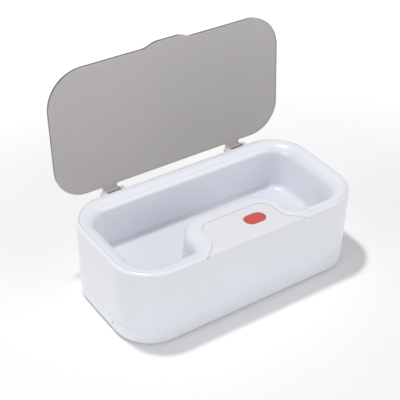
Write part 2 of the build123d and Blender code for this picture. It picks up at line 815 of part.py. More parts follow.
# Pair of leads from the board to the contacts' tails
front_lead_x = battery_socket_x - lead_pitch / 2
back_lead_x = battery_socket_x + lead_pitch / 2
with BuildPart() as battery_leads:
    lead(
        [
            (front_lead_x, socket_y, socket_bottom),
            (front_lead_x, socket_y, lead_level),
            (front_lead_x, front_row, lead_level),
            (contact_face, front_row, lead_level),
        ],
        [lead_bend] * 2,
    )
    lead(
        [
            (back_lead_x, socket_y, socket_bottom),
            (back_lead_x, socket_y, lead_level),
            (lead_turn_x, socket_y, lead_level),
            (lead_turn_x, back_row, lead_level),
            (contact_face, back_row, lead_level),
        ],
        [lead_bend] * 3,
    )
battery_leads.part.label = "battery_leads"
export_step(battery_leads.part, "parts/battery_leads.step")

# Lid: the flat plate with its thumb tab and the two lugs that hang on the hinge pins
lean = radians(lid_open_angle)
lid_plane = Plane(origin=(0, hinge_y, hinge_z), x_dir=(1, 0, 0), z_dir=(0, sin(lean), cos(lean)))
lid_under = height - hinge_z
lid_front = -width / 2 + lid_inset - hinge_y
lid_rear = width / 2 - lid_inset - hinge_y
lid_half_width = length / 2 - lid_inset
with BuildPart() as lid:
    with BuildSketch(lid_plane.offset(lid_under)) as plate:
        with Locations((0, (lid_front + lid_rear) / 2)):
            Rectangle(2 * lid_half_width, lid_rear - lid_front)
        fillet(plate.vertices().group_by(Axis.Y)[0], radius=lid_front_corner)
        fillet(
            plate.vertices().filter_by_position(Axis.Y, lid_rear - 0.1, lid_rear + 0.1), radius=lid_rear_corner
        )
        with BuildLine():
            Polyline(
                (-tab_half_width - tab_slope, lid_front),
                (-tab_half_width + tab_slope, lid_front - tab_reach),
                (tab_half_width - tab_slope, lid_front - tab_reach),
                (tab_half_width + tab_slope, lid_front),
                close=True,
            )
        make_face()
        tab_foot = tab_half_width + tab_slope
        corners = plate.vertices().filter_by_position(Axis.X, -tab_foot, tab_foot)
        fillet(corners.filter_by_position(Axis.Y, lid_front - tab_reach - 1, lid_front + 1), radius=tab_round)
    extrude(amount=lid_thickness)
    lid_up = Axis((0, 0, 0), lid_plane.z_dir)
    for face in (lid.faces().sort_by(lid_up)[-1], lid.faces().sort_by(lid_up)[0]):
        fillet(face.edges(), radius=lid_edge_round)
    lug_top = lid_under + lid_thickness
    for side in (-hinge_x, hinge_x):
        profile = [
            (lid_rear - lug_root, lid_under + lid_edge_round),
            (lid_rear - lug_root, lug_top - lid_edge_round),
            (lid_rear - 1, lug_top),
            (lug_radius / 3, lug_top),
            (lug_radius, lug_top - lug_radius * 2 / 3),
            (lug_radius, 0),
            (-lug_radius, 0),
            (-lug_radius, lid_under),
        ]
        side_block([opened(y, z) for y, z in profile], side, lug_width)
        with Locations((side, hinge_y, hinge_z)):
            Cylinder(lug_radius, lug_width, rotation=(0, 90, 0))
            Cylinder(pin_radius + running_gap, lug_width, rotation=(0, 90, 0), mode=Mode.SUBTRACT)
lid.part.label = "lid"
export_step(lid.part, "parts/lid.step")

# Steel pins through the ears and lugs
with BuildPart() as hinge_pins:
    with Locations((-hinge_x, hinge_y, hinge_z), (hinge_x, hinge_y, hinge_z)):
        Cylinder(pin_radius, lug_width + 2 * (ear_gap + ear_width - pin_chamfer), rotation=(0, 90, 0))
    chamfer(hinge_pins.edges(), length=pin_chamfer)
hinge_pins.part.label = "hinge_pins"
export_step(hinge_pins.part, "parts/hinge_pins.step")
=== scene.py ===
# %% [markdown]
# # A small ultrasonic cleaner, lid open
#
# This lesson dresses a jewellery cleaner: a white drafted housing with a kidney-shaped tub, a flat
# control panel with one coral button, and a smoky lid that stands open behind it.
# The hard shapes come from a CAD model, which is loaded first and never moved. Blender adds what CAD
# leaves out: the finish of every surface, the soft button cap, the solder joints and the light.

# %% Load the CAD frame and measure it
from math import cos, pi, radians, sin

import bpy
from mathutils import Matrix, Vector


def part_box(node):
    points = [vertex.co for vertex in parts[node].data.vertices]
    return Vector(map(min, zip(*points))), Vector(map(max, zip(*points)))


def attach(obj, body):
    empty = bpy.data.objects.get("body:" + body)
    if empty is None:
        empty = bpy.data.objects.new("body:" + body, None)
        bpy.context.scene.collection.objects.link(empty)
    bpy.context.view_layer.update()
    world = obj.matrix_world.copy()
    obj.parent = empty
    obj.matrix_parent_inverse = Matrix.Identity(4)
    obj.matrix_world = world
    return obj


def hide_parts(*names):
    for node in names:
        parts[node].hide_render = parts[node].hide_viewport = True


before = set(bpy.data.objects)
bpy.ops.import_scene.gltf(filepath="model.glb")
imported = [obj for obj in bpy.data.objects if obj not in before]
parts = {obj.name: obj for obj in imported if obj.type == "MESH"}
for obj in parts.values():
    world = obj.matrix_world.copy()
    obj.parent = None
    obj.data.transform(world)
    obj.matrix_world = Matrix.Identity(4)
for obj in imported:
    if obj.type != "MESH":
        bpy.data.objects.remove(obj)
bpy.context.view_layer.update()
mm = 0.001
um = 0.001 * mm
print("CAD nodes:", len(parts))


def middle(node):
    """The middle of a CAD node's box."""
    low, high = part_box(node)
    return (Vector(low) + Vector(high)) / 2


# %% [markdown]
# ## Camera
#
# The housing's rim and its table edge gave the photograph's viewpoint: about 70 centimetres away,
# in front and to the left, looking down on the cleaner. A camera can be aimed by turning it until the
# picture fits, but here its own axes are written as three unit vectors, so neither aim nor roll has to
# be guessed again.

# %% Camera at the photograph's viewpoint
camera_place = Vector((-0.3266, -0.4531, 0.4544))
camera_right = Vector((0.8276, -0.5612, 0.0142))
camera_up = Vector((0.3153, 0.4856, 0.8153))
camera_back = Vector((-0.4644, -0.6703, 0.5788))

lens = bpy.data.cameras.new("camera")
lens.sensor_width = 36
lens.lens = 94.1
lens.clip_start = 0.01
lens.clip_end = 50
camera = bpy.data.objects.new("camera", lens)
bpy.context.collection.objects.link(camera)
turn = Matrix((camera_right, camera_up, camera_back)).transposed()
camera.matrix_world = Matrix.Translation(camera_place) @ turn.to_4x4()
bpy.context.scene.camera = camera
print("camera height above the table, mm:", round(camera_place.z / mm))

# %% [markdown]
# ## Shader maths in plain Python
#
# A material is a little program drawn with nodes. Typing it as sums is quicker to read than wiring
# boxes, so Wire wraps a socket and lets + - * < > build the Math nodes. Recipe is the node tree of a
# material or of the sky, and its only method for nodes, add, takes a node's type, its settings and
# what goes into its sockets. Finish is the Recipe of a material, with the patterns that pieces need.

# %% Wire: a socket that does sums
class Wire:
    """A node's output, on which ordinary arithmetic adds Math nodes."""

    def __init__(self, recipe, socket):
        self.recipe = recipe
        self.socket = socket

    def maths(self, operation, *values):
        return self.recipe.add("Math", {"operation": operation}, dict(enumerate(values)))["Value"]

    def __add__(self, other):
        return self.maths("ADD", self, other)

    def __radd__(self, other):
        return self.maths("ADD", other, self)

    def __sub__(self, other):
        return self.maths("SUBTRACT", self, other)

    def __rsub__(self, other):
        return self.maths("SUBTRACT", other, self)

    def __mul__(self, other):
        return self.maths("MULTIPLY", self, other)

    def __rmul__(self, other):
        return self.maths("MULTIPLY", other, self)

    def __gt__(self, other):
        return self.maths("GREATER_THAN", self, other)

    def __lt__(self, other):
        return self.maths("LESS_THAN", self, other)

    def size(self):
        return self.maths("ABSOLUTE", self)

    def larger(self, other):
        return self.maths("MAXIMUM", self, other)

    def zigzag(self, pitch):
        """Climbs from 0 to pitch and comes down again, over and over."""
        return self.maths("PINGPONG", self, pitch)


# %% Recipe and Finish: the nodes of the sky or of a material
class Recipe:
    """A node tree: its shader, and the nodes that feed it."""

    def __init__(self, owner, shader):
        owner.use_nodes = True
        self.tree = owner.node_tree
        self.shader = self.tree.nodes[shader]

    def add(self, kind, settings={}, inputs={}):
        node = self.tree.nodes.new("ShaderNode" + kind)
        for setting, value in settings.items():
            setattr(node, setting, value)
        for name, value in inputs.items():
            self.feed(node, name, value)
        return {s.name: Wire(self, s) for s in node.outputs if s.enabled}

    def feed(self, node, name, value):
        open_sockets = [s for s in node.inputs if s.enabled]
        named = {s.name: s for s in open_sockets}
        socket = named[name] if isinstance(name, str) else open_sockets[name]
        if isinstance(value, Wire):
            self.tree.links.new(value.socket, socket)
        else:
            socket.default_value = value

    def set(self, **inputs):
        """Sets the shader's sockets, whose names are written with _ for a space."""
        for name, value in inputs.items():
            self.feed(self.shader, name.replace("_", " "), value)

    def seen(self):
        """1 for what the camera sees, straight, in a gloss or refracted, and 0 for light on its way."""
        rays = self.add("LightPath")
        return rays["Is Camera Ray"].larger(rays["Is Glossy Ray"]).larger(rays["Is Transmission Ray"])


class Finish(Recipe):
    """A material: a Principled shader, patterned by place on the piece and by the way it faces."""

    def __init__(self, name):
        self.material = bpy.data.materials.new(name)
        super().__init__(self.material, "Principled BSDF")
        self.place = self.add("TexCoord")["Object"]
        self.facing = self.add("TexCoord")["Normal"]

    def xyz(self, vector=None):
        split = self.add("SeparateXYZ", {}, {0: vector or self.place})
        return split["X"], split["Y"], split["Z"]

    def noise(self, grain, detail=2.0, vector=None):
        """Soft noise from 0 to 1, whose blotches are about this many metres across."""
        inputs = {"Vector": vector or self.place, "Scale": 1 / grain, "Detail": detail}
        return self.add("TexNoise", {}, inputs)["Fac"]

    def stretched(self, scale):
        return self.add("VectorMath", {"operation": "MULTIPLY"}, {0: self.place, 1: scale})["Vector"]

    def towards(self, direction):
        """1 where the surface faces this direction, 0 where it is square to it, -1 where it faces away."""
        return self.add("VectorMath", {"operation": "DOT_PRODUCT"}, {0: self.facing, 1: direction})["Value"]

    def blend(self, share, first, second):
        inputs = {"Factor": share, "A": first, "B": second}
        return self.add("Mix", {"data_type": "RGBA"}, inputs)["Result"]

    def ramp(self, value, low, high, to_low=0.0, to_high=1.0):
        """Runs smoothly from to_low to to_high as value goes from low to high, and stays there beyond."""
        settings = {"interpolation_type": "SMOOTHSTEP"}
        inputs = {"Value": value, "From Min": low, "From Max": high, "To Min": to_low, "To Max": to_high}
        return self.add("MapRange", settings, inputs)["Result"]

    def bump(self, height, depth):
        """Raises the surface where height is 1, by depth in metres."""
        self.set(Normal=self.add("Bump", {}, {"Height": height, "Distance": depth})["Normal"])


# %% Colours, and putting a finish on things
BLACK = (0.0, 0.0, 0.0, 1.0)
WHITE = (1.0, 1.0, 1.0, 1.0)


def srgb(red, green, blue):
    """A colour as seen on screen, 0 to 255, turned into the linear numbers that shaders use."""
    return tuple((v / 255) ** 2.2 for v in (red, green, blue)) + (1.0,)


def times(colour, share):
    """The same colour with this share of its light."""
    return tuple(v * share for v in colour[:3]) + (1.0,)


dressed_nodes = set()


def dress(finish, *names):
    """Puts a finish on CAD nodes, in every material slot that they have."""
    for name in names:
        for slot in parts[name].material_slots:
            slot.material = finish.material
        dressed_nodes.add(name)
    print(finish.material.name, "on", ", ".join(names))


def paint(piece, finish):
    """Gives a piece made here its finish, in place of any that it has."""
    piece.data.materials.clear()
    piece.data.materials.append(finish.material)
    print(finish.material.name, "on", piece.name)


# %% [markdown]
# ## Floor, backdrop and light
#
# Product photographs are lit softly from several sides so that white plastic keeps its shape. Here one
# round lamp hangs a metre up, a little to the left and behind, and throws a short shadow to the front
# right. It stands behind the lid's hinge line on purpose: from there the open lid doesn't shade the rim.
# Two low suns open the outer walls, and the front one also looks into the tub. A grey sky fills the rest.
#
# A lamp so near lights the far floor less than the near floor. The paper is pale and keeps the shadow,
# and what the camera sees of it glows a little, more so with distance, until it meets the white backdrop.

# %% The floor
floor_radius = 6.0
floor_drop = 0.1 * mm
bpy.ops.object.select_all(action="DESELECT")
bpy.ops.mesh.primitive_circle_add(
    vertices=64, radius=floor_radius, fill_type="NGON", location=(0, 0, -floor_drop)
)
floor = bpy.context.active_object
floor.name = "floor"

glow_near = 0.045
glow_far = 0.75
glow_starts = 0.13
glow_full = 0.70
paper = Finish("floor_paper")
from_middle = paper.add("VectorMath", {"operation": "LENGTH"}, {0: paper.place})["Value"]
glow = paper.ramp(from_middle, glow_starts, glow_full, glow_near, glow_far)
paper.set(
    Base_Color=times(WHITE, 0.95),
    Roughness=0.9,
    Specular_IOR_Level=0.0,
    Emission_Color=paper.blend(glow * paper.seen(), BLACK, WHITE),
    Emission_Strength=1.0,
)
paint(floor, paper)

# %% The sky: white to the camera, grey as a light
fill_level = 0.34
world = bpy.data.worlds.new("studio")
bpy.context.scene.world = world
sky = Recipe(world, "Background")
sky.set(Color=(0.985, 0.99, 1.0, 1.0), Strength=sky.seen() * (1 - fill_level) + fill_level)
print("sky lights with", fill_level, "of white")

# %% Lamps
rim_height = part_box("tub")[1][2]


def hang(name, kind, energy):
    lamp = bpy.data.objects.new(name, bpy.data.lights.new(name, kind))
    lamp.data.energy = energy
    bpy.context.collection.objects.link(lamp)
    return lamp


def bulb(name, place, level, width):
    """A round lamp that lights the rim, straight below it, to this share of white."""
    lamp = hang(name, "POINT", 4 * pi**2 * level * (place[2] - rim_height) ** 2)
    lamp.data.shadow_soft_size = width / 2
    lamp.location = place
    print(name, "height", place[2], "level", level)


def sun(name, towards, level, softness):
    """A sun seen in the direction towards, which lights a surface facing it to this share of white."""
    lamp = hang(name, "SUN", level * pi)
    lamp.data.angle = radians(softness)
    lamp.rotation_mode = "QUATERNION"
    lamp.rotation_quaternion = Vector(towards).to_track_quat("Z", "Y")
    print(name, "elevation", round(90 - 180 / pi * Vector(towards).angle((0, 0, 1))), "level", level)


bulb("key", place=(-0.14, 0.16, 1.00), level=0.57, width=0.09)
sun("left_fill", towards=(-1.0, 0.05, 0.12), level=0.37, softness=40)
sun("front_fill", towards=(0.45, -1.0, 0.36), level=0.295, softness=40)
bpy.context.scene.view_settings.view_transform = "Standard"

# %% [markdown]
# ## White mouldings
#
# The housing, base, tub and panel are injection-moulded ABS. Their steel tools were spark-finished, so
# the surface has a very fine even grain, and years of wiping leave it slightly glossier in patches.
# Flat white would look like plaster, so the recipe lets colour and gloss drift by a few hundredths, too
# little to see as spots. It serves all four; the tub is polished, so it gets less grain and more gloss.

# %% Recipe for moulded plastic
abs_ior = 1.54


def moulded(name, colour, roughness, grain_depth, scuffs=0.03, coat=0.0):
    """Grained plastic, whose roughness drifts by scuffs to either side."""
    finish = Finish(name)
    cloud = finish.noise(45 * mm, 3.0)
    grain = finish.noise(0.45 * mm, 3.0)
    wiped = finish.noise(30 * mm, 2.0) * 0.5 + grain * 0.5
    finish.set(
        Base_Color=finish.blend(cloud, colour, times(colour, 0.985)),
        Roughness=(wiped - 0.5) * (2 * scuffs) + roughness,
        Coat_Weight=coat,
        Coat_Roughness=0.12,
        IOR=abs_ior,
    )
    finish.bump(grain, grain_depth)
    return finish


# %% Finishes for the mouldings
housing_white = moulded("housing_white", srgb(231, 233, 240), roughness=0.30, grain_depth=1.5 * um, coat=0.1)
tub_white = moulded(
    "tub_white", srgb(232, 234, 241), roughness=0.26, grain_depth=1.0 * um, scuffs=0.02, coat=0.1
)
panel_white = moulded("panel_white", srgb(229, 229, 234), roughness=0.40, grain_depth=2.0 * um)
dress(housing_white, "body_shell", "base_cover", "battery_door")
dress(tub_white, "tub")
dress(panel_white, "control_panel")

# %% [markdown]
# ## The smoky lid
#
# The lid is a flat plate of tinted clear plastic. Looking through it, the eye meets two skins and
# two millimetres of tint; looking at its edge, it meets much more. Transparent plastic is quickest to
# draw as a see-through skin, so Alpha carries the tint, and the narrow edge, found by its normal, is
# more opaque. Its edges get painted light and shade: those facing the lamp, up and to the left, get a
# nearly black painted shade, and the other edges and the hinge lugs get a pale painted highlight.

# %% Where the lid's faces and edges are
lid_open = radians(93.9)
lid_normal = (0.0, sin(lid_open), cos(lid_open))
upper_left = (-0.75, 0.0, 0.66)
lugs_end = 62.5 * mm
lamp_side_ends = (62 * mm, 84 * mm)
tint_spread = 90 * mm

smoke = Finish("lid_smoke")
lid_x, _, lid_z = smoke.xyz()
edge = smoke.ramp(smoke.towards(lid_normal).size(), 0.35, 0.9, 1.0, 0.0)
lamp_side = (lid_z > lugs_end) * smoke.ramp(lid_x, *lamp_side_ends, 1.0, 0.0)
# painted shade on the edges that face the lamp, up and to the left, only above the lugs and left of the
# right edge
painted_shade_edge = smoke.ramp(smoke.towards(upper_left), 0.35, 0.6) * lamp_side
print("dark edge above, mm:", round(lugs_end / mm, 1))

# %% The lid's colour with its painted shade, highlight and reflection streaks, and its gloss
smoke_plain = srgb(166, 158, 156)
smoke_darker = srgb(128, 119, 118)
# a pale painted highlight on the edges away from the lamp and on the hinge lugs
smoke_painted_highlight = srgb(203, 194, 190)
# a nearly black painted shade on the edges that face the lamp
smoke_painted_shade = srgb(42, 40, 39)
# broad streaks that run up the lid are painted reflection, and the face also turns darker towards the right
painted_reflection_streaks = smoke.noise(50 * mm, 2.0, smoke.stretched((1.0, 1.0, 0.35)))
rubbed = smoke.noise(1.2 * mm, 3.0, smoke.stretched((1.0, 1.0, 0.3)))
rightward = smoke.ramp(lid_x, -tint_spread, tint_spread)
lid_face_colour = smoke.blend(painted_reflection_streaks * 0.35 + rightward * 0.6, smoke_plain, smoke_darker)
smoke.set(
    Base_Color=smoke.blend(edge, lid_face_colour, smoke.blend(painted_shade_edge, smoke_painted_highlight, smoke_painted_shade)),
    Alpha=edge * 0.35 + 0.52,
    Roughness=rubbed * 0.06 + 0.20,
    IOR=1.49,
)
smoke.bump(smoke.noise(0.6 * mm, 2.0), 1.0 * um)
dress(smoke, "lid")

# %% [markdown]
# ## Rubber and silicone
#
# Gaskets and feet are matt and slightly dusty. A rubber foot is moulded, then sits on shelves, so
# a pale bloom collects in its pores. Bloom is easy to draw: noise decides where it lies, and there the
# rubber is both paler and rougher.

# %% Recipe for rubber
def rubber(name, colour, bloom):
    finish = Finish(name)
    pores = finish.noise(0.6 * mm, 3.0)
    dust = finish.ramp(finish.noise(7 * mm, 4.0), 0.45, 0.75)
    finish.set(Base_Color=finish.blend(dust, colour, bloom), Roughness=dust * 0.12 + 0.62)
    finish.bump(pores, 30 * um)
    return finish


seal_grey = rubber("seal_grey", srgb(172, 174, 178), srgb(186, 188, 190))
foot_rubber = rubber("foot_rubber", srgb(106, 108, 112), srgb(124, 126, 128))
dress(seal_grey, "rim_gasket", "panel_gasket", "button_seal")
dress(foot_rubber, "foot_ring")

# %% [markdown]
# ## Metal
#
# Screws, pins, springs and contacts are nickel-plated steel. Plating is bright but never a
# perfect mirror: drawn wire and rolled strip keep fine lines along their length. Noise that is
# stretched along one axis gives those lines, in the gloss and in the bump alike.

# %% Recipe for plated metal
def plated(name, colour, roughness, lines):
    finish = Finish(name)
    drawn = finish.noise(0.8 * mm, 4.0, finish.stretched(lines))
    tarnish = finish.ramp(finish.noise(6 * mm, 3.0), 0.4, 0.8)
    finish.set(
        Base_Color=finish.blend(tarnish, colour, times(colour, 0.78)),
        Metallic=1.0,
        Roughness=finish.ramp(drawn, 0.3, 0.7, roughness - 0.08, roughness + 0.08),
    )
    finish.bump(drawn, 6 * um)
    return finish


nickel = plated("nickel", srgb(206, 205, 202), roughness=0.30, lines=(0.25, 1.0, 1.0))
plate_steel = plated("plate_steel", srgb(196, 197, 199), roughness=0.36, lines=(0.2, 1.0, 1.0))
dress(nickel, "hinge_pins", "base_screws", "board_screws")
dress(nickel, "bridge_contact", "battery_contacts", "battery_springs")
dress(plate_steel, "vibration_plate")

# %% [markdown]
# ## Electronics
#
# The board hangs under the panel. Solder mask is a thin green lacquer over copper, so tracks show as
# slightly raised, lighter lines. Two crossed sets of bands, broken by noise, make tracks that run square
# to each other as a layout program draws them.

# %% The board
track_width = 0.22 * mm
row_pitch = 0.9 * mm
column_pitch = 1.1 * mm
mask_green = Finish("board_green")
east, north, _ = mask_green.xyz()
squares = {"distance": "CHEBYCHEV"}
blotches = mask_green.add("TexVoronoi", squares, {"Vector": mask_green.place, "Scale": 260.0})
rows = east.zigzag(row_pitch) < track_width
columns = north.zigzag(column_pitch) < track_width
choice = mask_green.noise(6 * mm, 0.0) > 0.5
tracks = rows * choice + columns * (1 - choice)
mask_green.set(
    Base_Color=mask_green.blend(tracks, srgb(22, 104, 62), srgb(52, 140, 84)),
    Roughness=blotches["Distance"] * 0.05 + 0.28,
    Coat_Weight=0.3,
)
mask_green.bump(tracks, 30 * um)
dress(mask_green, "control_board")

# %% [markdown]
# The switch and its plunger are dark nylon and the sockets pale nylon. The pale ones can share the white
# mouldings' recipe; the dark ones get their own, because dust and fine scratches show on black as paler
# specks. The driver chip is black epoxy between two rows of tinned legs, and a limit on Y parts the two.

# %% Switch and sockets
def dark_moulding(name, colour, roughness):
    finish = Finish(name)
    speck = finish.noise(0.3 * mm, 2.0)
    finish.set(
        Base_Color=finish.blend(speck, colour, times(colour, 1.5)),
        Roughness=speck * 0.15 + roughness,
    )
    finish.bump(speck, 10 * um)
    return finish


dress(dark_moulding("switch_black", srgb(50, 50, 54), roughness=0.42), "switch_housing")
dress(dark_moulding("plunger_black", srgb(70, 70, 74), roughness=0.35), "switch_plunger")
dress(moulded("natural_nylon", srgb(228, 224, 208), roughness=0.45, grain_depth=10 * um), "lead_sockets")

# %% Driver chip
chip_body_reach = 2.0 * mm
chip = Finish("chip_epoxy")
_, chip_y, _ = chip.xyz()
legs = (chip_y - middle("driver_chip").y).size() > chip_body_reach
epoxy = chip.blend(chip.noise(0.3 * mm), srgb(44, 44, 46), srgb(58, 58, 60))
chip.set(
    Base_Color=chip.blend(legs, epoxy, srgb(205, 205, 200)),
    Metallic=legs,
    Roughness=0.55 - legs * 0.25,
)
dress(chip, "driver_chip")

# %% [markdown]
# The transformer is a black ferrite frame round a bobbin of enamelled copper. The two are one CAD
# solid here, so the recipe tells them apart by distance from the coil's axis, and lays the turns of wire
# as fine rings up the coil.

# %% Transformer
coil_radius = 5.1 * mm
coil_half_height = 4.2 * mm
wire_radius = 0.16 * mm
ferrite = Finish("ferrite_and_wire")
coil_x, coil_y, coil_z = ferrite.xyz()
coil_middle = middle("driver_transformer")
out_x = coil_x - coil_middle.x
out_y = coil_y - coil_middle.y
inside_coil = out_x * out_x + out_y * out_y < coil_radius**2
wound = inside_coil * ((coil_z - coil_middle.z).size() < coil_half_height)
turns = coil_z.zigzag(wire_radius) * (1 / wire_radius)
wire = ferrite.blend(turns, srgb(120, 58, 26), srgb(196, 112, 56))
stone = ferrite.blend(ferrite.noise(0.5 * mm), srgb(44, 44, 47), srgb(66, 66, 68))
ferrite.set(
    Base_Color=ferrite.blend(wound, stone, wire),
    Roughness=0.7 - wound * 0.4,
    Metallic=wound * 0.6,
)
ferrite.bump(turns * wound + ferrite.noise(0.4 * mm) * (1 - wound) * 0.3, 50 * um)
dress(ferrite, "driver_transformer")

# %% [markdown]
# The capacitor's sleeve is shrunk over an aluminium can and stops short of its end, and a pale stripe
# marks its negative lead. The piezo disc is a fired ceramic with a silver electrode on its face, which
# stops short of the rim so that no spark can jump round it. Both patterns are plain limits on place.

# %% Capacitor and piezo disc
sleeve_end = 34.6 * mm
stripe_from = 8.8 * mm
can = Finish("capacitor_sleeve")
can_x, _, can_z = can.xyz()
bare_end = can_z < sleeve_end
stripe = (can_x > stripe_from) * (1 - bare_end)
sleeve = can.blend(stripe, srgb(36, 44, 78), srgb(176, 180, 188))
can.set(
    Base_Color=can.blend(bare_end, sleeve, srgb(200, 200, 202)),
    Metallic=bare_end,
    Roughness=can.noise(2 * mm) * 0.1 + 0.28,
)
can.bump(can.noise(1 * mm), 10 * um)
dress(can, "filter_capacitor")

electrode_radius = 10.2 * mm
silvered = Finish("piezo_silvered")
disc_x, disc_y, _ = silvered.xyz()
disc_out = disc_y - middle("piezo_disc").y
electrode = disc_x * disc_x + disc_out * disc_out < electrode_radius**2
ceramic = silvered.blend(silvered.noise(1 * mm), srgb(206, 188, 142), srgb(192, 172, 124))
silver = silvered.blend(silvered.noise(1.2 * mm, 4.0), srgb(214, 212, 205), srgb(188, 186, 180))
silvered.set(
    Base_Color=silvered.blend(electrode, ceramic, silver),
    Metallic=electrode * 0.8,
    Roughness=0.5,
)
silvered.bump(silvered.noise(0.6 * mm), 10 * um)
dress(silvered, "piezo_disc")

# %% [markdown]
# Each pair of leads has one red wire and one black one, so nobody connects it the wrong way round. The
# two wires lie on either side of a plane, which is how the recipe knows which is which. The piezo pair is
# stripped and soldered where it meets the disc, so past that place the recipe turns to silver.

# %% Wire insulation
piezo_split = 0.0
piezo_solder_from = 7.9 * mm
battery_split = 11 * mm
never = 1.0  # a metre away, where no lead reaches


def insulation(name, split_at, solder_from):
    finish = Finish(name)
    x, y, _ = finish.xyz()
    red_side = x > split_at
    soldered = y > solder_from
    shine = finish.noise(3 * mm, 2.0)
    jacket_colour = finish.blend(red_side, srgb(40, 40, 42), srgb(188, 34, 32))
    finish.set(
        Base_Color=finish.blend(soldered, jacket_colour, srgb(190, 190, 188)),
        Metallic=soldered,
        Roughness=shine * 0.1 + 0.33,
    )
    finish.bump(finish.noise(0.8 * mm), 10 * um)
    return finish


dress(insulation("lead_pair", piezo_split, piezo_solder_from), "piezo_leads")
dress(insulation("battery_lead_pair", battery_split, never), "battery_leads")

# %% [markdown]
# ## Battery cells
#
# A cell is a steel can in a shrunk plastic jacket. The jacket stops short of the ends, where the bare
# metal shows, and the cells here are plain ones without any print: a dark jacket with one pale ring
# at the positive end. The two rows point opposite ways, as cells in series do, so the recipe first turns
# X round in the front row and then draws all four cells alike.

# %% Where the four cells lie
rear_row_y = -12.1 * mm
row_step = 15.8 * mm
cell_height = 10.0 * mm
nub_radius = 3.5 * mm
ring_at = 50.6 * mm
ring_half_width = 0.6 * mm

jacket = Finish("cell_jacket")
cell_x, cell_y, cell_z = jacket.xyz()
front_row = cell_y < -20 * mm
along = cell_x * (front_row * 2 - 1)
sideways = cell_y - rear_row_y + front_row * row_step
upwards = cell_z - cell_height
print("cell rows at y, mm:", round(rear_row_y / mm, 1), round((rear_row_y - row_step) / mm, 1))

# %% Cell jackets, rings and bare ends
nub = sideways * sideways + upwards * upwards < nub_radius**2
end_facing, _, _ = jacket.xyz(jacket.facing)
bare = nub.larger(end_facing.size() > 0.8)
outer_ring = (along - ring_at).size() < ring_half_width
middle_ring = along.size() < ring_half_width
dark = jacket.blend(jacket.noise(4 * mm), srgb(58, 60, 66), srgb(66, 68, 74))
ringed = jacket.blend(outer_ring + middle_ring, dark, srgb(186, 188, 192))
jacket.set(
    Base_Color=jacket.blend(bare, ringed, srgb(200, 199, 196)),
    Metallic=bare,
    Roughness=jacket.noise(3 * mm, 3.0) * 0.15 + 0.22,
)
jacket.bump(jacket.noise(8 * mm, 2.0), 60 * um)
dress(jacket, "aa_cells")

# %% [markdown]
# ## The button cap
#
# The one coloured piece draws the eye, so it is modelled again as the moulder would draw it: an oval
# cap on a thin flange that keeps it in the panel, and a stem that reaches the switch. A cylinder's two
# halves are pulled apart to make the oval, the top face is inset and raised, its edge is rounded, and
# the last insets, each sunk a few hundredths of a millimetre, leave the shallow dish that a fingertip
# finds.

# %% Helpers for modelling by hand
hair = 0.01 * mm


def select_only(piece):
    bpy.ops.object.select_all(action="DESELECT")
    bpy.context.view_layer.objects.active = piece
    piece.select_set(True)


def start_editing(piece):
    select_only(piece)
    bpy.ops.object.mode_set(mode="EDIT")
    bpy.ops.mesh.select_all(action="DESELECT")


def pick(piece, mode, test):
    """Selects the vertices, edges or faces for which test is true, and nothing else."""
    bpy.ops.object.mode_set(mode="OBJECT")
    kinds = {"VERT": piece.data.vertices, "EDGE": piece.data.edges, "FACE": piece.data.polygons}
    for kind, items in kinds.items():
        for item in items:
            item.select = kind == mode and test(item)
    bpy.ops.object.mode_set(mode="EDIT")
    bpy.context.tool_settings.mesh_select_mode = tuple(kind == mode for kind in kinds)


def heights(piece, edge):
    return [piece.data.vertices[i].co.z for i in edge.vertices]


def move(x=0.0, y=0.0, z=0.0):
    bpy.ops.transform.translate(value=(x, y, z))


def settle(piece, smooth_angle=35):
    """Leaves edit mode, puts the object at the origin with its place in its mesh, and smooths it."""
    bpy.ops.object.mode_set(mode="OBJECT")
    select_only(piece)
    bpy.ops.object.transform_apply(location=True, rotation=True, scale=True)
    bpy.ops.object.shade_smooth_by_angle(angle=radians(smooth_angle))
    print(piece.name, "faces:", len(piece.data.polygons))


# %% Button cap: an oval flange
button_low, button_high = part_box("power_button")
button_x, button_y, _ = middle("power_button")
flange_radius = (button_high[1] - button_low[1]) / 2
straight = (button_high[0] - button_low[0]) / 2 - flange_radius
flange_top = 55.95 * mm
flange_thickness = 1.0 * mm
steps = 72

bpy.ops.object.select_all(action="DESELECT")
bpy.ops.mesh.primitive_cylinder_add(
    vertices=steps,
    radius=flange_radius,
    depth=flange_thickness,
    location=(button_x, button_y, flange_top - flange_thickness / 2),
    rotation=(0, 0, pi / steps),
)
cap = bpy.context.active_object
cap.name = "button_cap"
bpy.ops.object.transform_apply(location=True, rotation=True, scale=True)
start_editing(cap)
for side in (-1, 1):
    pick(cap, "VERT", lambda v: (v.co.x - button_x) * side > 0)
    move(x=side * straight)
print("straight part of the oval, mm:", round(2 * straight / mm, 1))

# %% Button cap: raised, rounded and dished
flange_reach = 1.4 * mm
cap_top = button_high[2]
cap_round = 0.6 * mm
dish = ((0.35, 0.02), (0.5, 0.05), (0.6, 0.04), (0.8, 0.02))  # each ring's width and drop, in mm

pick(cap, "FACE", lambda f: f.center.z > flange_top - hair)
bpy.ops.mesh.inset(thickness=flange_reach)
bpy.ops.mesh.extrude_region_move(TRANSFORM_OT_translate={"value": (0, 0, cap_top - flange_top)})
pick(cap, "EDGE", lambda e: min(heights(cap, e)) > cap_top - hair)
bpy.ops.mesh.bevel(offset=cap_round, segments=5, affect="EDGES")
pick(cap, "FACE", lambda f: f.center.z > cap_top - hair / 10 and f.normal.z > 0.99)
for ring_width, drop in dish:
    bpy.ops.mesh.inset(thickness=ring_width * mm)
    move(z=-drop * mm)
settle(cap)

